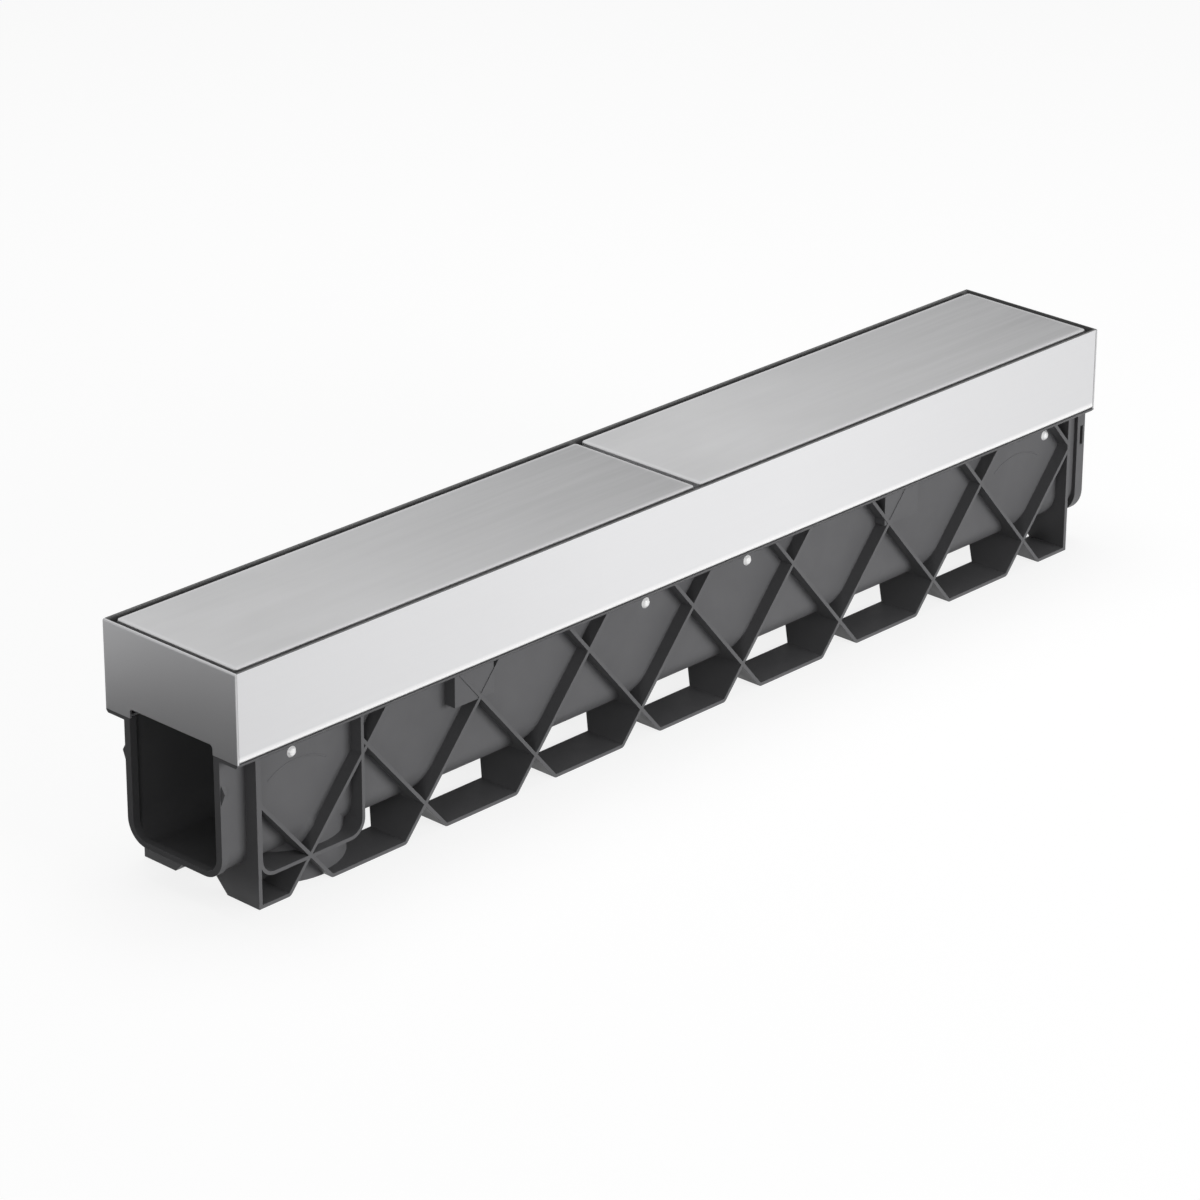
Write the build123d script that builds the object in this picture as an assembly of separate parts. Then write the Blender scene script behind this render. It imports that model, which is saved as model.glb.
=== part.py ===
from build123d import *
import math
import os

# Channel drain: a moulded trough with a lattice of outside ribs, under a steel frame with two covers.
# All lengths are in millimetres. x runs along the channel, y across it, and z = 0 is under the feet.
# The near end is the one with the plain spigot, at the lowest x. The far end has the socket.

# Steel frame, outside sizes
frame_length = 1000.0
frame_width = 145.0
frame_height = 73.0
sheet = 2.0                     # thickness of all folded steel sheet
end_plate_round = 1.5           # radius along the outer top edge of the end plates

# Moulded body
body_height = 129.5             # feet to the top of the rim that carries the frame
rim_thickness = 3.0
rim_bevel = 2.0                 # under the rim's outer edges
trough_half_width = 52.5        # to the outside of the wall
trough_wall = 3.2
trough_bottom = 26.5            # underside of the trough above the feet
trough_corner = 24.0            # outside radius between wall and floor

# Spigot lip at the near end, and the socket at the far end that takes the next unit's lip
lip_length = 6.6
lip_wall = 6.4
lip_corner = 20.0               # outside radius, tighter than the trough's, so the lip's corners stand out
lip_inner_corner = 13.6
lip_sill = 1.5                  # the lip's floor stands this much above the trough's
socket_reach = 10.0             # how far the socket stands past the frame
socket_depth = 7.0
socket_wall = 3.2
socket_clearance = 0.4

# Snap knobs on both sides of the spigot, and the slots in the socket that they click into
knob_bottom = 90.0
knob_peak = 100.5               # level where the knob stands out most
knob_top = 107.0
knob_width = 3.2
knob_stand = 4.0
knob_root = 1.0                 # how deep its back is sunk into the wall
knob_setback = 1.0              # from the open end to the knob
slot_clearance = 0.2

# Outside ribs
rib_half_width = 64.2           # to the outer edge of every rib
rib_thickness = 3.0
end_rib_thickness = 3.5
near_rib_setback = 25.0         # frame end to the outer face of the near end rib
far_rib_setback = 20.0
bays = 8
lattice_lead = 7.2              # the first upper crossing would lie this far before the near end rib
upper_crossing = 97.5
lower_crossing = 27.0
foot_corner = 5.0               # outside radius where a rib turns into a foot
tunnel_half_width = 29.0        # open strip between the feet of the two sides, at the ground
tunnel_top_half_width = 2.5     # the same strip just under the trough

# Knock-out frame for a side branch, near the near end
knock_out_lead = 2.0            # its outer edge behind the near end rib's face
knock_out_length = 107.5
knock_out_bottom = 24.0
knock_out_corner = 15.0
knock_out_edge = 3.0

# Raised pads for the installer's brackets
pad_middles = (252.0, 755.0)    # from the near end of the frame
pad_length = 42.0
pad_bottom = 96.0
pad_recess = 0.8                # pad face behind the rib edges

# Round outlet stub under the floor
outlet_radius = 55.0
outlet_wall = 3.5
outlet_middle = 99.0            # from the near end of the frame
outlet_floor = 2.0              # floor left across the stub, cut out on site

# Frame fixings
bend_radius = 3.0               # outside radius of a fold
near_rivet_setback = 71.6       # frame end to the outermost rivet
far_rivet_setback = 41.6
inner_rivet_offset = 60.2       # the two inner rivets, either side of the middle between the outer ones
rivet_drop = 19.0               # rim top down to the rivet
rivet_shank = 4.8
rivet_head = 9.0
rivet_crown = 5.0               # flat on top of the head
rivet_head_height = 2.2
rivet_tail_length = 1.6         # shank left standing inside the tab
rivet_clearance = 0.2
head_clearance = 0.5            # kept free of ribs round every head
tab_width = 36.0
tab_drop = 28.0
tab_gap = 0.2                   # tab to the trough's inner wall
notch_half_width = 45.5
notch_height = 7.8
notch_corner = 3.0

# Covers
cover_gap = 5.0                 # slot all round the covers, where the water goes in
cover_joint = 6.0
cover_depth = 20.0
cover_return = 14.0
cover_corner = 3.0
cover_edge = 1.0                # bevel along the fold of the top edge
stiffener_width = 40.0
stiffener_height = 12.0
stiffener_sheet = 1.5
stiffener_end_gap = 25.0

# Bars across the frame, and the rubber on them
bar_width = 40.0
bar_height = 16.0
bar_end_gap = 2.0
strip_thickness = 2.0
strip_margin = 2.0
strip_end_gap = 5.5

# Stations and levels that follow from the sizes above
near_end = -(frame_length + socket_reach) / 2
far_end = near_end + frame_length
socket_end = far_end + socket_reach
near_rib = near_end + near_rib_setback
far_rib = far_end - far_rib_setback
rim_top = body_height
rim_underside = rim_top - rim_thickness
frame_top = rim_top + frame_height
inner_half_width = trough_half_width - trough_wall
floor_level = trough_bottom + trough_wall
rivet_level = rim_top - rivet_drop
first_rivet = near_end + near_rivet_setback
last_rivet = far_end - far_rivet_setback
middle_rivet = (first_rivet + last_rivet) / 2
rivet_stations = [
    first_rivet,
    middle_rivet - inner_rivet_offset,
    middle_rivet + inner_rivet_offset,
    last_rivet,
]
tab_outer = inner_half_width - tab_gap
tab_inner = tab_outer - sheet
bar_top = frame_top - cover_depth - strip_thickness


def channel_section(half_width, bottom, corner):
    """Upright U outline with a flat top at the rim and rounded lower corners, seen along the channel."""
    outline = Pos(0, (bottom + rim_top) / 2) * Rectangle(2 * half_width, rim_top - bottom)
    return fillet(outline.vertices().sort_by(Axis.Y)[:2], corner)


def run_along(section, start, end):
    """Extrude a section, drawn with y to the right and z up, from one station to another."""
    return extrude(Plane.YZ.offset(start) * section, end - start)


def run_across(outline, half_width):
    """Extrude an outline, drawn with x to the right and z up, to both sides of the middle plane."""
    return extrude(Plane.XZ * outline, half_width, both=True)


def block(x_low, x_high, half_width, z_low, z_high):
    """Plain block, symmetric about the middle plane."""
    middle = Pos((x_low + x_high) / 2, 0, (z_low + z_high) / 2)
    return middle * Box(x_high - x_low, 2 * half_width, z_high - z_low)


def strand_outline(left_crossing, right_crossing, slope):
    """One strand of the lattice: down through a lower crossing, flat as a foot, and up again."""
    half_rib = rib_thickness * math.hypot(1, 1 / slope) / 2
    outer_reach = lower_crossing / slope - half_rib
    inner_reach = (lower_crossing - rib_thickness) / slope + half_rib
    arm_reach = (rim_underside - lower_crossing) / slope
    outline = Polyline(
        (left_crossing - arm_reach - half_rib, rim_underside),
        (left_crossing + outer_reach, 0),
        (right_crossing - outer_reach, 0),
        (right_crossing + arm_reach + half_rib, rim_underside),
        (right_crossing + arm_reach - half_rib, rim_underside),
        (right_crossing - inner_reach, rib_thickness),
        (left_crossing + inner_reach, rib_thickness),
        (left_crossing - arm_reach + half_rib, rim_underside),
        close=True,
    )
    face = make_face(outline)
    return fillet(face.vertices().group_by(Axis.Y)[0], foot_corner)


def lattice_outline():
    """Side view of the crossing ribs, cut off at the two end ribs."""
    pitch = (far_rib - near_rib + lattice_lead) / bays
    first_crossing = near_rib - lattice_lead + pitch / 2
    slope = (upper_crossing - lower_crossing) / (pitch / 2)
    outline = Sketch()
    for strand in range(-1, bays + 1):
        left_crossing = first_crossing + strand * pitch
        outline += strand_outline(left_crossing, left_crossing + pitch, slope)
    middle_x = (near_rib + far_rib) / 2
    window = Pos(middle_x, rim_underside / 2) * Rectangle(far_rib - near_rib, rim_underside)
    return outline & window


def knock_out_outline():
    """Side view of the U-shaped edge round the knock-out, and of the clear zone in its upper part."""
    left = near_rib + knock_out_lead
    height = rim_underside - knock_out_bottom
    middle_x = left + knock_out_length / 2
    outer = Pos(middle_x, knock_out_bottom + height / 2) * Rectangle(knock_out_length, height)
    outer = fillet(outer.vertices().sort_by(Axis.Y)[:2], knock_out_corner)
    inner_length = knock_out_length - 2 * knock_out_edge
    inner_height = height - knock_out_edge
    inner = Pos(middle_x, rim_underside - inner_height / 2) * Rectangle(inner_length, inner_height)
    inner = fillet(inner.vertices().sort_by(Axis.Y)[:2], knock_out_corner - knock_out_edge)
    clear_height = rim_underside - upper_crossing
    clear_zone = Pos(middle_x, rim_underside - clear_height / 2) * Rectangle(inner_length, clear_height)
    return outer - inner, clear_zone


def across_hole(x, radius):
    """Round bar right across the channel at one fixing station, to cut holes with."""
    return Pos(x, 0, rivet_level) * Rot(90, 0, 0) * Cylinder(radius, frame_width)


def rivet_hole(x):
    """Clearance hole for the rivets' shanks at one fixing station."""
    return across_hole(x, rivet_shank / 2 + rivet_clearance / 2)


def ribbing():
    """Lattice, feet, end ribs and knock-out edge as full-width plates, with the tunnel cut out below.

    The plates keep clear of the rivets' heads.
    """
    edge, clear_zone = knock_out_outline()
    ribs = run_across((lattice_outline() - clear_zone) + edge, rib_half_width)
    ribs += block(near_rib, near_rib + end_rib_thickness, rib_half_width, 0, rim_underside)
    ribs += block(far_rib - end_rib_thickness, far_rib, rib_half_width, 0, rim_underside)
    tunnel = Polyline(
        (-tunnel_half_width, 0),
        (tunnel_half_width, 0),
        (tunnel_top_half_width, trough_bottom),
        (-tunnel_top_half_width, trough_bottom),
        close=True,
    )
    ribs -= run_along(make_face(tunnel), near_end, far_end)
    for x in rivet_stations:
        ribs -= across_hole(x, rivet_head / 2 + head_clearance)
    return ribs


def knob(side):
    """Wedge-shaped snap knob on the outside of the spigot, its back sunk into the wall."""
    face = trough_half_width
    outline = Polyline(
        (face - knob_root, knob_bottom),
        (face, knob_bottom),
        (face + knob_stand, knob_peak),
        (face, knob_top),
        (face - knob_root, knob_top),
        close=True,
    )
    start = near_end + knob_setback
    solid = run_along(make_face(outline), start, start + knob_width)
    return solid if side > 0 else mirror(solid, Plane.XZ)


def snap_slots():
    """Slot through both walls of the socket, where the knobs of the next unit come to lie."""
    start = socket_end - socket_depth + knob_setback
    x_low, x_high = start - slot_clearance, start + knob_width + slot_clearance
    return block(x_low, x_high, frame_width / 2, knob_bottom - slot_clearance, knob_top + slot_clearance)


def channel_body():
    """The moulded trough with its rim, ribs, feet, spigot, socket and outlet stub, all one piece."""
    outer = channel_section(trough_half_width, trough_bottom, trough_corner)
    lip = channel_section(trough_half_width, trough_bottom, lip_corner)
    socket_half_width = trough_half_width + socket_clearance + socket_wall
    socket_bottom = trough_bottom - socket_clearance - socket_wall
    socket = channel_section(socket_half_width, socket_bottom, lip_corner + socket_clearance + socket_wall)

    body = run_along(outer, near_end, far_end + socket_reach - socket_depth)
    body += run_along(lip, near_end, near_end + lip_length)
    body += run_along(socket, far_end, socket_end)
    rim = block(near_end, far_end, frame_width / 2, rim_underside, rim_top)
    body += chamfer(rim.edges().filter_by(Axis.X).group_by(Axis.Z)[0], rim_bevel)
    body += ribbing()
    for middle in pad_middles:
        pad_start = near_end + middle - pad_length / 2
        pad_face = rib_half_width - pad_recess
        body += block(pad_start, pad_start + pad_length, pad_face, pad_bottom, rim_underside)

    outlet_x = near_end + outlet_middle
    stub_top = trough_bottom + trough_corner
    body += Pos(outlet_x, 0, stub_top / 2) * Cylinder(outlet_radius, stub_top)
    bore = Pos(outlet_x, 0, stub_top / 2) * Cylinder(outlet_radius - outlet_wall, stub_top)
    floor_skin = channel_section(
        trough_half_width, floor_level - outlet_floor, trough_corner - trough_wall + outlet_floor)
    body -= bore - run_along(floor_skin, near_end, far_end)

    lip_half_width = trough_half_width - lip_wall
    lip_hollow = channel_section(lip_half_width, floor_level + lip_sill, lip_inner_corner)
    body -= run_along(lip_hollow, near_end, far_end)
    inner = channel_section(inner_half_width, floor_level, trough_corner - trough_wall)
    body -= run_along(inner, near_end + lip_length, socket_end)
    mouth_half_width = trough_half_width + socket_clearance
    mouth = channel_section(mouth_half_width, trough_bottom - socket_clearance, lip_corner + socket_clearance)
    body -= run_along(mouth, socket_end - socket_depth, socket_end)

    body -= snap_slots()

    body += knob(-1)
    body += knob(1)
    for x in rivet_stations:
        body -= rivet_hole(x)
    return body


def rail(side):
    """Folded rail: upright plate, flat foot on the rim, and four tabs down inside the trough."""
    outer = frame_width / 2
    start = near_end + sheet
    length = frame_length - 2 * sheet
    outline = Polyline(
        (-outer, frame_top),
        (-outer, rim_top),
        (-tab_inner, rim_top),
        (-tab_inner, rim_top + sheet),
        (-outer + sheet, rim_top + sheet),
        (-outer + sheet, frame_top),
        close=True,
    )
    profile = make_face(outline)
    corner = profile.vertices().sort_by_distance(Vertex(-outer, rim_top, 0))[0]
    profile = fillet(corner, bend_radius)
    inside = profile.vertices().sort_by_distance(Vertex(-outer + sheet, rim_top + sheet, 0))[0]
    profile = fillet(inside, bend_radius - sheet)
    solid = run_along(profile, start, start + length)
    for x in rivet_stations:
        tab_top = rim_top + sheet
        tab_height = sheet + tab_drop
        tab_middle = -(tab_outer + tab_inner) / 2
        tab = Pos(x, tab_middle, tab_top - tab_height / 2) * Box(tab_width, sheet, tab_height)
        tab = chamfer(tab.edges().filter_by(Axis.Y).group_by(Axis.Z)[0], bend_radius)
        solid = solid + tab - rivet_hole(x)
    return solid if side < 0 else mirror(solid, Plane.XZ)


def end_plate(x_face, inward):
    """Flat end plate of the frame, with a shallow notch over the trough's opening."""
    plate = Pos(0, rim_top + frame_height / 2) * Rectangle(frame_width, frame_height)
    notch = Pos(0, rim_top + notch_height / 2) * Rectangle(2 * notch_half_width, notch_height)
    notch = fillet(notch.vertices().sort_by(Axis.Y)[-2:], notch_corner)
    x_back = x_face + inward * sheet
    solid = run_along(plate - notch, min(x_face, x_back), max(x_face, x_back))
    top_edges = solid.edges().filter_by(Axis.Y).group_by(Axis.Z)[-1]
    return fillet(top_edges.sort_by(Axis.X)[0 if inward > 0 else -1], end_plate_round)


def cover_span(which):
    """First and last station of one of the two equal covers, 0 at the near end and 1 at the far end."""
    inside_start = near_end + sheet + cover_gap
    inside_end = far_end - sheet - cover_gap
    length = (inside_end - inside_start - cover_joint) / 2
    start = inside_start + which * (length + cover_joint)
    return start, start + length


def cover(which):
    """Lay-in cover: a sheet folded down on four sides, with its lower edge turned in."""
    start, end = cover_span(which)
    half_width = frame_width / 2 - sheet - cover_gap
    base = frame_top - cover_depth
    shell = block(start, end, half_width, base, frame_top)
    shell = fillet(shell.edges().filter_by(Axis.Z), cover_corner)
    shell = chamfer(shell.faces().sort_by(Axis.Z)[-1].edges(), cover_edge)
    hollow = block(start + sheet, end - sheet, half_width - sheet, base + sheet, frame_top - sheet)
    mouth = block(start + cover_return, end - cover_return, half_width - cover_return, base, base + sheet)
    return shell - hollow - mouth


def cover_stiffener(which):
    """Channel-shaped stiffener welded under the middle of a cover."""
    start, end = cover_span(which)
    start += stiffener_end_gap
    end -= stiffener_end_gap
    top = frame_top - sheet
    outer = block(start, end, stiffener_width / 2, top - stiffener_height, top)
    outer = fillet(outer.edges().filter_by(Axis.X).group_by(Axis.Z)[0], bend_radius)
    hollow_half_width = stiffener_width / 2 - stiffener_sheet
    inner = block(start, end, hollow_half_width, top - stiffener_height + stiffener_sheet, top)
    inner = fillet(inner.edges().filter_by(Axis.X).group_by(Axis.Z)[0], bend_radius - stiffener_sheet)
    return outer - inner


def bar_stations():
    """Middles of the cross bars: one at each end, one under the joint and one half-way along each cover."""
    first = near_end + sheet + bar_end_gap + bar_width / 2
    last = far_end - sheet - bar_end_gap - bar_width / 2
    middle = (first + last) / 2
    return [first, (first + middle) / 2, middle, (middle + last) / 2, last]


def support_bar(x):
    """Cross bar with its flanges turned down, welded between the rails."""
    half_width = frame_width / 2 - sheet
    outer = block(x - bar_width / 2, x + bar_width / 2, half_width, bar_top - bar_height, bar_top)
    outer = fillet(outer.edges().filter_by(Axis.Y).group_by(Axis.Z)[-1], bend_radius)
    reach = bar_width / 2 - sheet
    inner = block(x - reach, x + reach, half_width, bar_top - bar_height, bar_top - sheet)
    inner = fillet(inner.edges().filter_by(Axis.Y).group_by(Axis.Z)[-1], bend_radius - sheet)
    return outer - inner


def bearing_strip(x):
    """Rubber strip stuck along the top of a cross bar."""
    half_length = bar_width / 2 - bend_radius - strip_margin
    half_width = frame_width / 2 - sheet - strip_end_gap
    return block(x - half_length, x + half_length, half_width, bar_top, bar_top + strip_thickness)


def rivet(x, side):
    """Blind rivet through the trough's wall and the rail's tab, its head tapered to a flat crown."""
    face = trough_half_width
    crown_level = face + rivet_head_height
    shank_end = tab_inner - rivet_tail_length
    outline = Polyline(
        (0, shank_end),
        (rivet_shank / 2, shank_end),
        (rivet_shank / 2, face),
        (rivet_head / 2, face),
        (rivet_crown / 2, crown_level),
        (0, crown_level),
        close=True,
    )
    profile = make_face(outline)
    solid = revolve(profile, Axis.Y)
    solid = Pos(x, 0, rivet_level) * solid
    return solid if side > 0 else mirror(solid, Plane.XZ)


def rivet_row(side):
    """The four rivets of one side, as separate solids."""
    return Compound(children=[rivet(x, side) for x in rivet_stations])


parts = {
    "channel_body": channel_body(),
    "front_rail": rail(-1),
    "back_rail": rail(1),
    "near_end_plate": end_plate(near_end, 1),
    "far_end_plate": end_plate(far_end, -1),
    "near_cover": cover(0),
    "far_cover": cover(1),
    "near_cover_stiffener": cover_stiffener(0),
    "far_cover_stiffener": cover_stiffener(1),
    "front_rivets": rivet_row(-1),
    "back_rivets": rivet_row(1),
}
for number, station in enumerate(bar_stations(), start=1):
    parts[f"support_bar_{number}"] = support_bar(station)
    parts[f"bearing_strip_{number}"] = bearing_strip(station)

os.makedirs("parts", exist_ok=True)
for name, solid in parts.items():
    export_step(solid, f"parts/{name}.step")
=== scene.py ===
import math
import bpy
from mathutils import Matrix, Vector


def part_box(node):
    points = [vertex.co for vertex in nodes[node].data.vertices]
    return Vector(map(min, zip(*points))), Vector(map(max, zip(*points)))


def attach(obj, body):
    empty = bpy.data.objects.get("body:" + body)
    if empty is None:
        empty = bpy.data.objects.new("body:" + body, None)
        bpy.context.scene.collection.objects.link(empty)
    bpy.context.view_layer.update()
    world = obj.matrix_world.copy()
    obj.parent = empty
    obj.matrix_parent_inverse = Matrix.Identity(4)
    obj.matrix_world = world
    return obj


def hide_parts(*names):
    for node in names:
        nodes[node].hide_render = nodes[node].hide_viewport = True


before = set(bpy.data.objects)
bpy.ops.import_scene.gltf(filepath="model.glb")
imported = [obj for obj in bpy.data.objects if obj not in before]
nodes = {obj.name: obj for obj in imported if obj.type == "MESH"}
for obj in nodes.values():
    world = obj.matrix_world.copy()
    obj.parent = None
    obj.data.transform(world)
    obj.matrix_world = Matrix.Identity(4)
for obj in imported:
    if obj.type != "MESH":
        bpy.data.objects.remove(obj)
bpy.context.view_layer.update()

# Moulded body
# The trough, its rim, the crossing ribs and the feet are one dark grey polypropylene moulding.
# Its edges come out of the mould slightly rounded, and its faces carry a fine matt grain.

WELD_DISTANCE = 0.00002
FLAT_WITHIN = 0.4       # degrees between triangles that are one flat face
EASED_FROM = 35.0       # degrees between faces whose edge is rounded
EDGE_STEPS = 2          # strips of faces across a rounded edge
SMOOTH_BELOW = 50.0     # degrees between faces that are shaded as one surface
CLOSE_BY = 0.00005      # how near a point counts as being at a place

BODY_EDGE = 0.0002
LIP_LENGTH = 0.0066     # the thin step behind the lip stays sharp
WALL_FACE = 0.0525      # outside of the trough's wall, from the middle
STUB_RADIUS = 0.055
STUB_TOP = 0.0505       # level where the outlet stub runs out into the wall


def select_only(piece):
    bpy.ops.object.select_all(action="DESELECT")
    piece.select_set(True)
    bpy.context.view_layer.objects.active = piece


def merged_copy(node_name, piece_name):
    """A copy of a node with its loose triangles joined up into whole faces."""
    piece = nodes[node_name].copy()
    piece.data = nodes[node_name].data.copy()
    piece.name = piece_name
    piece.parent = None
    bpy.context.scene.collection.objects.link(piece)
    select_only(piece)
    bpy.ops.object.mode_set(mode="EDIT")
    bpy.ops.mesh.select_all(action="SELECT")
    bpy.ops.mesh.remove_doubles(threshold=WELD_DISTANCE)
    bpy.ops.mesh.dissolve_limited(angle_limit=math.radians(FLAT_WITHIN))
    bpy.ops.object.mode_set(mode="OBJECT")
    bpy.ops.mesh.customdata_custom_splitnormals_clear()
    return piece


def ease_edges(piece, radius, sharp_at=None):
    """Rounds every sharp edge, except those that lie in one plane across the length."""
    select_only(piece)
    bpy.ops.object.mode_set(mode="EDIT")
    bpy.ops.mesh.select_mode(type="EDGE")
    bpy.ops.mesh.select_all(action="DESELECT")
    bpy.ops.mesh.edges_select_sharp(sharpness=math.radians(EASED_FROM))
    bpy.ops.object.mode_set(mode="OBJECT")
    weights = piece.data.attributes.new("bevel_weight_edge", "FLOAT", "EDGE")
    for edge in piece.data.edges:
        ends = [piece.data.vertices[i].co.x for i in edge.vertices]
        kept_sharp = sharp_at is not None and all(abs(x - sharp_at) < CLOSE_BY for x in ends)
        weights.data[edge.index].value = 1.0 if edge.select and not kept_sharp else 0.0
    bevel = piece.modifiers.new("eased edges", "BEVEL")
    bevel.width = radius
    bevel.segments = EDGE_STEPS
    bevel.limit_method = "WEIGHT"
    bevel.use_clamp_overlap = False
    bpy.ops.object.modifier_apply(modifier=bevel.name)
    bpy.ops.object.shade_smooth_by_angle(angle=math.radians(SMOOTH_BELOW))
    flat_faces = piece.modifiers.new("flat faces stay flat", "WEIGHTED_NORMAL")
    flat_faces.mode = "FACE_AREA"
    flat_faces.weight = 100
    flat_faces.keep_sharp = True
    bpy.ops.object.modifier_apply(modifier=flat_faces.name)


def finish_with(piece, *finishes):
    """Gives a piece one material, or more, the first on all its faces."""
    piece.data.materials.clear()
    for finish in finishes:
        piece.data.materials.append(finish.material)


def stands_for(piece, slot_name, *node_names):
    """Puts a finished piece in the place of its nodes and hides them; the slot name is not used."""
    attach(piece, "root")
    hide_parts(*node_names)


class Finish:
    """A material on the object's own coordinates, with short calls for the nodes that a finish needs."""

    def __init__(self, name, **sockets):
        self.material = bpy.data.materials.new(name)
        self.material.use_nodes = True
        self.tree = self.material.node_tree
        self.shader = self.tree.nodes["Principled BSDF"]
        self.coords = self.tree.nodes.new("ShaderNodeTexCoord")
        for socket, value in sockets.items():
            self.shader.inputs[socket.replace("_", " ")].default_value = value

    def stretched(self, scale):
        """The object's coordinates in metres, times a scale along each axis."""
        node = self.tree.nodes.new("ShaderNodeMapping")
        node.inputs["Scale"].default_value = scale
        self.tree.links.new(self.coords.outputs["Object"], node.inputs["Vector"])
        return node.outputs["Vector"]

    def noise(self, scale, detail=2.0, roughness=0.5, vector=None):
        """Soft random pattern between 0 and 1."""
        node = self.tree.nodes.new("ShaderNodeTexNoise")
        node.inputs["Scale"].default_value = scale
        node.inputs["Detail"].default_value = detail
        node.inputs["Roughness"].default_value = roughness
        source = self.coords.outputs["Object"] if vector is None else vector
        self.tree.links.new(source, node.inputs["Vector"])
        return node.outputs["Fac"]

    def spread(self, value, low, high, to_low, to_high):
        """Maps a value from one span to another."""
        node = self.tree.nodes.new("ShaderNodeMapRange")
        node.inputs["From Min"].default_value = low
        node.inputs["From Max"].default_value = high
        node.inputs["To Min"].default_value = to_low
        node.inputs["To Max"].default_value = to_high
        self.tree.links.new(value, node.inputs["Value"])
        return node.outputs["Result"]

    def blend(self, factor, first, second):
        """Colour between two others, each a colour or another node's output."""
        node = self.tree.nodes.new("ShaderNodeMix")
        node.data_type = "RGBA"
        if hasattr(factor, "node"):
            self.tree.links.new(factor, node.inputs["Factor"])
        else:
            node.inputs["Factor"].default_value = factor
        for socket, colour in (("A", first), ("B", second)):
            at = [i for i in node.inputs if i.name == socket and i.type == "RGBA"][0]
            if hasattr(colour, "node"):
                self.tree.links.new(colour, at)
            else:
                at.default_value = (*colour, 1.0)
        return [o for o in node.outputs if o.type == "RGBA"][0]

    def sum_of(self, operation, first, second=None):
        """One operation on numbers, each a plain value or another node's output."""
        node = self.tree.nodes.new("ShaderNodeMath")
        node.operation = operation
        for socket, value in zip(node.inputs, (first, second)):
            if hasattr(value, "node"):
                self.tree.links.new(value, socket)
            elif value is not None:
                socket.default_value = value
        return node.outputs[0]

    def bump(self, height, distance, under=None):
        """Relief of a given depth in metres, on top of another relief if there is one."""
        node = self.tree.nodes.new("ShaderNodeBump")
        node.inputs["Distance"].default_value = distance
        self.tree.links.new(height, node.inputs["Height"])
        if under is not None:
            self.tree.links.new(under, node.inputs["Normal"])
        return node.outputs["Normal"]

    def place(self):
        """The three coordinates as separate numbers."""
        node = self.tree.nodes.new("ShaderNodeSeparateXYZ")
        self.tree.links.new(self.coords.outputs["Object"], node.inputs["Vector"])
        return node.outputs

    def put(self, socket, output):
        """Feeds one of the shader's sockets."""
        self.tree.links.new(output, self.shader.inputs[socket])


plastic = Finish("moulded_plastic", IOR=1.49, Specular_IOR_Level=0.25)
mottle = plastic.spread(plastic.noise(14.0, 3.0), 0.3, 0.7, 0.0, 1.0)
plastic.put("Base Color", plastic.blend(mottle, (0.112, 0.112, 0.116), (0.128, 0.128, 0.132)))
plastic.put("Roughness", plastic.spread(plastic.noise(60.0, 2.0), 0.3, 0.7, 0.42, 0.54))
grain = plastic.bump(plastic.noise(1500.0, 2.0), 0.00006)
plastic.put("Normal", plastic.bump(plastic.noise(90.0, 2.0), 0.00015, under=grain))

body = merged_copy("channel_body", "moulded_channel")
for vertex in body.data.vertices:
    at_stub_top = abs(vertex.co.z - STUB_TOP) < CLOSE_BY
    if at_stub_top and WALL_FACE < abs(vertex.co.y) < STUB_RADIUS + CLOSE_BY:
        vertex.co.y = math.copysign(WALL_FACE, vertex.co.y)
ease_edges(body, BODY_EDGE, sharp_at=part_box("channel_body")[0][0] + LIP_LENGTH)
finish_with(body, plastic)
stands_for(body, "moulded_body", "channel_body")

# Branch marks
# Thin raised arcs moulded on the wall of the first and the last open bay, on both sides.
# They are the top of the circle along which the wall is cut for a side branch.

FIRST_BAY = -0.4280     # middle of the bay, along the channel
LAST_BAY = 0.4160
MARK_RADIUS = 0.054
MARK_HALF_SPAN = 0.031
MARK_CENTRE = 0.0495    # height of the circle's middle
MARK_BEAD = 0.0009      # radius of the bead
MARK_SUNK = 0.0005      # from the wall's face in to the middle of the bead


def branch_mark(number, bay_middle, wall_side):
    """One arc, cut from a thin ring whose middle lies just inside the wall's face."""
    bpy.ops.object.select_all(action="DESELECT")
    bpy.ops.mesh.primitive_torus_add(
        location=(bay_middle, wall_side * (WALL_FACE - MARK_SUNK), MARK_CENTRE),
        rotation=(math.radians(90), 0.0, 0.0),
        major_radius=MARK_RADIUS,
        minor_radius=MARK_BEAD,
        major_segments=160,
        minor_segments=12,
    )
    mark = bpy.context.object
    mark.name = f"branch_mark_{number}"
    bpy.ops.object.transform_apply(location=True, rotation=True, scale=True)
    bpy.ops.object.mode_set(mode="EDIT")
    bpy.ops.mesh.select_mode(type="VERT")
    bpy.ops.mesh.select_all(action="DESELECT")
    bpy.ops.object.mode_set(mode="OBJECT")
    for vertex in mark.data.vertices:
        past_span = abs(vertex.co.x - bay_middle) > MARK_HALF_SPAN
        vertex.select = past_span or vertex.co.z < MARK_CENTRE
    bpy.ops.object.mode_set(mode="EDIT")
    bpy.ops.mesh.delete(type="VERT")
    bpy.ops.mesh.select_all(action="SELECT")
    bpy.ops.mesh.fill_holes(sides=0)
    bpy.ops.mesh.normals_make_consistent(inside=False)
    bpy.ops.object.mode_set(mode="OBJECT")
    bpy.ops.object.shade_smooth_by_angle(angle=math.radians(SMOOTH_BELOW))
    finish_with(mark, plastic)
    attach(mark, "root")


branch_mark(1, FIRST_BAY, -1)
branch_mark(2, FIRST_BAY, 1)
branch_mark(3, LAST_BAY, -1)
branch_mark(4, LAST_BAY, 1)
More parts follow.
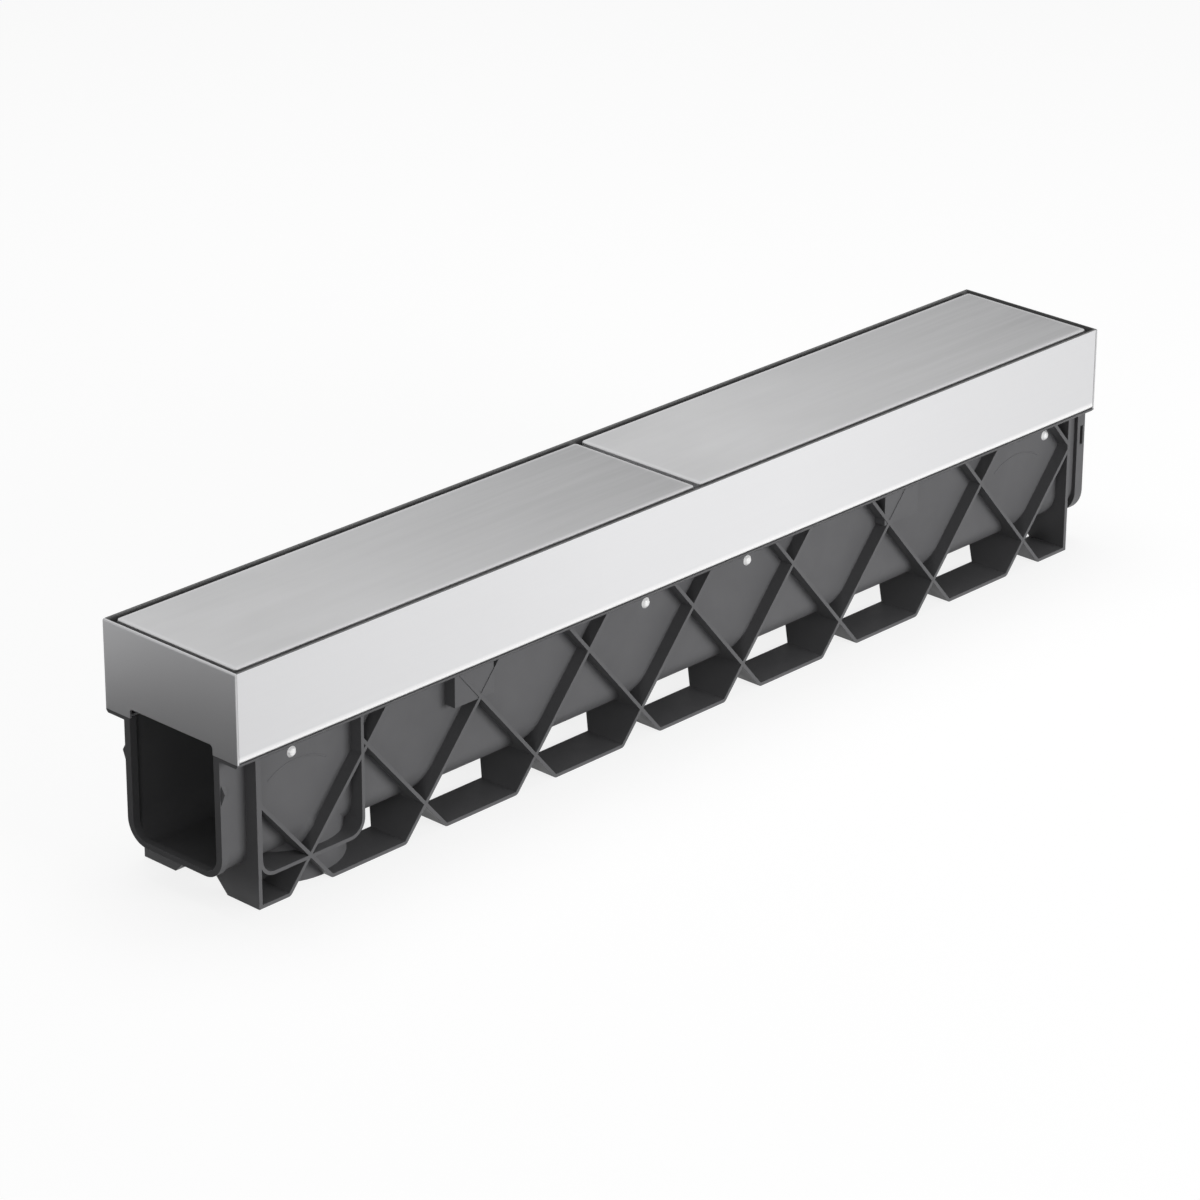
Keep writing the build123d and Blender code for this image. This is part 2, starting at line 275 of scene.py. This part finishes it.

# Frame rails and end plates
# Two folded rails and two flat plates, welded at the corners and dressed smooth.
# They are bright steel sheet, brushed along the length, with a painted highlight along the lower fold.
# Their upper edge, except on the near end plate, and their faces inside the slot carry a near-black painted
# shade.

SHEET_EDGE = 0.0003
FOLD_HIGHLIGHT_BAND = 0.0065      # height of the painted highlight along the lower fold
RAIL_SHADE_START = 0.1        # from the frame's middle to where painted shade begins to darken the rails
CORNER_BAND = 0.0015    # length over which a rail's tone turns into the end plates' painted shade
LOOKS_IN = -0.06        # a face's direction times its place is below this where it looks inwards
DARK_SHEET = (0.79, 0.79, 0.80)
PALE_SHEET = (0.86, 0.86, 0.87)
SHADED_SHEET = (0.71, 0.71, 0.72)
END_PLATE_SHADE = (0.41, 0.41, 0.42)
FOLD_HIGHLIGHT = (0.98, 0.98, 0.98)

frame_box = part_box("front_rail")
frame_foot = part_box("near_end_plate")[0][2]
frame_middle = (frame_box[0][0] + frame_box[1][0]) / 2
half_length = (frame_box[1][0] - frame_box[0][0]) / 2

frame_steel = Finish("frame_steel", Metallic=0.7)
brushing = frame_steel.noise(1.0, 3.0, 0.6, frame_steel.stretched((6.0, 900.0, 900.0)))
frame_place = frame_steel.place()
from_middle = frame_steel.sum_of("SUBTRACT", frame_place["X"], frame_middle)
from_middle = frame_steel.sum_of("ABSOLUTE", from_middle)
rail_end_shade = frame_steel.spread(from_middle, RAIL_SHADE_START, half_length, 0.0, 0.8)
past_rail = frame_steel.spread(from_middle, half_length, half_length + CORNER_BAND, 0.0, 1.0)
band_middle = frame_foot + FOLD_HIGHLIGHT_BAND / 2
band_top = frame_foot + FOLD_HIGHLIGHT_BAND
fold_highlight_mask = frame_steel.spread(frame_place["Z"], band_middle, band_top, 1.0, 0.0)
on_rail = frame_steel.sum_of("SUBTRACT", 1.0, past_rail)

sheet_tone = frame_steel.blend(frame_steel.noise(2.2, 2.0), DARK_SHEET, PALE_SHEET)
# Painted shade: the rails darken from the middle towards both ends.
sheet_tone = frame_steel.blend(rail_end_shade, sheet_tone, SHADED_SHEET)
# Painted shade: the end plates are the same steel as the rails, painted darker.
sheet_tone = frame_steel.blend(frame_steel.sum_of("MULTIPLY", past_rail, 0.7), sheet_tone, END_PLATE_SHADE)
# Painted highlight along the lower fold of the rails.
sheet_tone = frame_steel.blend(frame_steel.sum_of("MULTIPLY", fold_highlight_mask, on_rail), sheet_tone, FOLD_HIGHLIGHT)
frame_steel.put("Base Color", sheet_tone)
frame_steel.put("Roughness", frame_steel.spread(brushing, 0.3, 0.7, 0.34, 0.44))
frame_steel.put("Normal", frame_steel.bump(brushing, 0.00002))

# Painted shade: near-black steel for the upper edges and the faces inside the slot.
slot_shade_steel = Finish("steel_painted_slot_shade", Metallic=0.3, Roughness=0.7, Specular_IOR_Level=0.2)
slot_shade_tone = slot_shade_steel.blend(slot_shade_steel.noise(60.0, 2.0), (0.14, 0.14, 0.14), (0.19, 0.19, 0.19))
slot_shade_steel.put("Base Color", slot_shade_tone)

for node_name, piece_name in (
    ("front_rail", "front_frame_rail"),
    ("back_rail", "back_frame_rail"),
    ("near_end_plate", "near_frame_end"),
    ("far_end_plate", "far_frame_end"),
):
    sheet_piece = merged_copy(node_name, piece_name)
    ease_edges(sheet_piece, SHEET_EDGE)
    finish_with(sheet_piece, frame_steel, slot_shade_steel)
    for face in sheet_piece.data.polygons:
        outwards = min(face.normal.x * face.center.x, face.normal.y * face.center.y)
        in_slot = outwards < LOOKS_IN and face.center.z > band_top
        at_top = face.center.z > frame_box[1][2] - SHEET_EDGE
        if in_slot or at_top and node_name != "near_end_plate":
            face.material_index = 1
    stands_for(sheet_piece, "frame_sheet", node_name)

# Cross bars
# Folded bars welded between the rails, under the covers, in the same steel as the frame.

BARS = 5

for number in range(1, BARS + 1):
    bar = merged_copy(f"support_bar_{number}", f"cross_bar_{number}")
    ease_edges(bar, SHEET_EDGE)
    finish_with(bar, frame_steel)
    stands_for(bar, "frame_sheet", f"support_bar_{number}")

# Bearing strips
# Black rubber stuck along each cross bar, so that the covers don't rattle.

STRIP_EDGE = 0.0004

rubber = Finish("black_rubber", Roughness=0.85)
rubber_tone = rubber.blend(rubber.noise(40.0, 3.0), (0.018, 0.018, 0.018), (0.035, 0.035, 0.035))
rubber.put("Base Color", rubber_tone)
rubber.put("Normal", rubber.bump(rubber.noise(900.0, 3.0), 0.0001))
for number in range(1, BARS + 1):
    strip = merged_copy(f"bearing_strip_{number}", f"rubber_strip_{number}")
    ease_edges(strip, STRIP_EDGE)
    finish_with(strip, rubber)
    stands_for(strip, "strip_rubber", f"bearing_strip_{number}")

# Covers and their stiffeners
# Each cover is a sheet folded down on four sides, with a channel welded underneath.
# The steel is duller than the frame's and softly clouded. A painted reflection makes each cover lighter at
# its near end and darker towards its far end, and a painted highlight runs along the folds.

LID_EDGE = 0.0005
LID_HIGHLIGHT_BAND = 0.0045    # from the edge of a cover to where the painted highlight along the folds ends
DARK_CLOUD = (0.51, 0.51, 0.515)
PALE_CLOUD = (0.61, 0.61, 0.615)
LID_FAR_END_SHADE = (0.345, 0.345, 0.35)
STREAK = (0.64, 0.64, 0.65)
LID_FOLD_HIGHLIGHT = (0.74, 0.74, 0.75)

near_lid_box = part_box("near_cover")
far_lid_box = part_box("far_cover")
joint_middle = (near_lid_box[1][0] + far_lid_box[0][0]) / 2
joint_half_width = (far_lid_box[0][0] - near_lid_box[1][0]) / 2
lid_length = near_lid_box[1][0] - near_lid_box[0][0]
lid_half_width = near_lid_box[1][1]

cover_steel = Finish("cover_steel", Metallic=0.65)
cloud = cover_steel.noise(1.0, 3.0, 0.55, cover_steel.stretched((6.0, 14.0, 14.0)))
streaks = cover_steel.noise(1.0, 4.0, 0.6, cover_steel.stretched((7.0, 160.0, 160.0)))

lid_place = cover_steel.place()
from_joint = cover_steel.sum_of("SUBTRACT", lid_place["X"], joint_middle)
on_near_lid = cover_steel.sum_of("SUBTRACT", 1.0, cover_steel.sum_of("GREATER_THAN", from_joint, 0.0))
lid_start = cover_steel.sum_of("MULTIPLY", on_near_lid, lid_length)
along_lid = cover_steel.sum_of("DIVIDE", cover_steel.sum_of("ADD", from_joint, lid_start), lid_length)
past_joint = cover_steel.sum_of("SUBTRACT", cover_steel.sum_of("ABSOLUTE", from_joint), joint_half_width)
to_end = cover_steel.sum_of("SUBTRACT", lid_length, past_joint)
to_side = cover_steel.sum_of("SUBTRACT", lid_half_width, cover_steel.sum_of("ABSOLUTE", lid_place["Y"]))
to_edge = cover_steel.sum_of("MINIMUM", cover_steel.sum_of("MINIMUM", past_joint, to_end), to_side)

lid_tone = cover_steel.blend(cover_steel.spread(cloud, 0.3, 0.7, 0.0, 1.0), DARK_CLOUD, PALE_CLOUD)
# Painted reflection: each cover darkens from its near end towards its far end.
lid_tone = cover_steel.blend(cover_steel.spread(along_lid, 0.2, 1.0, 0.0, 0.95), lid_tone, LID_FAR_END_SHADE)
lid_tone = cover_steel.blend(cover_steel.spread(streaks, 0.35, 0.75, 0.0, 0.18), lid_tone, STREAK)
# Painted highlight along the folded edges of each cover.
lid_tone = cover_steel.blend(cover_steel.spread(to_edge, 0.0, LID_HIGHLIGHT_BAND, 0.7, 0.0), lid_tone, LID_FOLD_HIGHLIGHT)
cover_steel.put("Base Color", lid_tone)
cover_steel.put("Roughness", cover_steel.spread(cloud, 0.3, 0.7, 0.36, 0.48))
cover_steel.put("Normal", cover_steel.bump(streaks, 0.00003))

for node_name, piece_name in (
    ("near_cover", "near_lid"),
    ("far_cover", "far_lid"),
    ("near_cover_stiffener", "near_lid_channel"),
    ("far_cover_stiffener", "far_lid_channel"),
):
    cover_piece = merged_copy(node_name, piece_name)
    ease_edges(cover_piece, LID_EDGE)
    finish_with(cover_piece, cover_steel)
    stands_for(cover_piece, "cover_sheet", node_name)

# Rivets
# Bright domed blind rivets through the trough's wall and the rail's tabs, four on each side.
# The crown of each head is rounded over, and its rim is thin.

CROWN_ROUND = 0.0013
CROWN_STEPS = 5         # strips of faces across the rounded crown
HEAD_SMOOTH_BELOW = 40.0    # as SMOOTH_BELOW, lower so that the rim stays crisp

rivet_steel = Finish("rivet_steel", Metallic=0.2, Roughness=0.35)
rivet_tone = rivet_steel.blend(rivet_steel.noise(300.0), (0.90, 0.90, 0.90), (0.97, 0.97, 0.97))
rivet_steel.put("Base Color", rivet_tone)

for side, node_name, piece_name in (
    (-1, "front_rivets", "front_domed_rivets"),
    (1, "back_rivets", "back_domed_rivets"),
):
    rivets = merged_copy(node_name, piece_name)
    bpy.ops.object.mode_set(mode="EDIT")
    bpy.ops.mesh.select_mode(type="EDGE")
    bpy.ops.mesh.select_all(action="DESELECT")
    bpy.ops.object.mode_set(mode="OBJECT")
    crown = max(side * v.co.y for v in rivets.data.vertices)
    for edge in rivets.data.edges:
        ends = [side * rivets.data.vertices[i].co.y for i in edge.vertices]
        edge.select = min(ends) > crown - CLOSE_BY
    bpy.ops.object.mode_set(mode="EDIT")
    bpy.ops.mesh.bevel(offset=CROWN_ROUND, segments=CROWN_STEPS, affect="EDGES", clamp_overlap=False)
    bpy.ops.object.mode_set(mode="OBJECT")
    bpy.ops.object.shade_smooth_by_angle(angle=math.radians(HEAD_SMOOTH_BELOW))
    finish_with(rivets, rivet_steel)
    stands_for(rivets, "rivet_steel", node_name)

# Floor and daylight
# A plain white floor that keeps the drain's soft shadow, under large soft lamps and a pale sky.

FLOOR_SIZE = 40.0
FLOOR_DROP = 0.0002     # below the feet, so that the two planes never fight
FLOOR_GLOW = 0.84       # the floor's own light where it is seen, which makes it white
SKY_ON_SURFACES = 0.18  # strength of the sky as a source of light, where its look in reflections is 1

bpy.ops.object.select_all(action="DESELECT")
bpy.ops.mesh.primitive_plane_add(size=FLOOR_SIZE, location=(0, 0, -FLOOR_DROP))
floor = bpy.context.object
floor.name = "floor"
white = Finish("white_floor", Roughness=1.0, Specular_IOR_Level=0.0, Base_Color=(0.2, 0.2, 0.2, 1.0))
rays = white.tree.nodes.new("ShaderNodeLightPath").outputs
seen_straight = white.sum_of("MAXIMUM", rays["Is Camera Ray"], rays["Is Transmission Ray"])
seen = white.sum_of("MAXIMUM", seen_straight, rays["Is Glossy Ray"])
white.put("Emission Strength", white.sum_of("MULTIPLY", seen, FLOOR_GLOW))
white.shader.inputs["Emission Color"].default_value = (1.0, 1.0, 1.0, 1.0)
floor.data.materials.append(white.material)

world = bpy.data.worlds.new("pale_sky")
bpy.context.scene.world = world
world.use_nodes = True
sky = world.node_tree.nodes["Background"]
sky.inputs["Color"].default_value = (1.0, 1.0, 1.0, 1.0)
sky_path = world.node_tree.nodes.new("ShaderNodeLightPath")
sky_level = world.node_tree.nodes.new("ShaderNodeMapRange")
sky_level.inputs["To Min"].default_value = 1.0
sky_level.inputs["To Max"].default_value = SKY_ON_SURFACES
world.node_tree.links.new(sky_path.outputs["Is Diffuse Ray"], sky_level.inputs["Value"])
world.node_tree.links.new(sky_level.outputs["Result"], sky.inputs["Strength"])


def soft_lamp(name, place, aim, width, height, power):
    """A lamp that lights the object and leaves no mirror image of itself in the steel."""
    bpy.ops.object.select_all(action="DESELECT")
    bpy.ops.object.light_add(type="AREA", location=place)
    lamp = bpy.context.object
    lamp.name = name
    lamp.data.shape = "RECTANGLE"
    lamp.data.size = width
    lamp.data.size_y = height
    lamp.data.energy = power
    lamp.visible_glossy = False
    lamp.rotation_euler = (Vector(aim) - Vector(place)).to_track_quat("-Z", "Y").to_euler()


soft_lamp("key_lamp", place=(0.8, -3.5, 0.75), aim=(0.0, 0.0, 0.1), width=2.4, height=1.3, power=107.0)
soft_lamp("top_lamp", place=(0.4, 0.6, 3.2), aim=(0.0, 0.0, 0.1), width=3.0, height=2.0, power=55.0)
soft_lamp("end_lamp", place=(-2.6, -1.4, 0.35), aim=(-0.5, 0.0, 0.08), width=1.0, height=0.6, power=8.0)

# Dark card
# It lies on the floor by the near end, and only darkens what the end plate reflects.

CARD_MIDDLE = (-0.68, 0.0, 0.002)
CARD_LENGTH = 0.36
CARD_WIDTH = 0.68

bpy.ops.object.select_all(action="DESELECT")
bpy.ops.mesh.primitive_plane_add(size=1.0, location=CARD_MIDDLE)
card = bpy.context.object
card.name = "dark_card"
card.scale = (CARD_LENGTH, CARD_WIDTH, 1.0)
black = Finish("dark_card", Roughness=1.0, Specular_IOR_Level=0.0, Base_Color=(0.03, 0.03, 0.03, 1.0))
card.data.materials.append(black.material)
card.visible_camera = False
card.visible_diffuse = False
card.visible_transmission = False
card.visible_shadow = False

# Camera
# The viewing angle, distance and lens of the photograph, found from the corners of the frame.

AZIMUTH = 46.42
ELEVATION = 23.56
ROLL = 0.22
DISTANCE = 3.819
AIM = Vector((-0.0570, -0.0090, 0.1019))
LENS = 143.37           # millimetres, for a sensor as wide as SENSOR
SENSOR = 36.0

turn = (
    Matrix.Rotation(math.radians(-AZIMUTH), 4, "Z")
    @ Matrix.Rotation(math.radians(90 - ELEVATION), 4, "X")
    @ Matrix.Rotation(math.radians(ROLL), 4, "Z")
)
bpy.ops.object.select_all(action="DESELECT")
bpy.ops.object.camera_add()
camera = bpy.context.object
camera.data.lens = LENS
camera.data.sensor_width = SENSOR
camera.data.clip_end = 100.0
camera.matrix_world = Matrix.Translation(AIM + turn.to_3x3() @ Vector((0, 0, DISTANCE))) @ turn
bpy.context.scene.camera = camera
bpy.context.scene.view_settings.view_transform = "Standard"
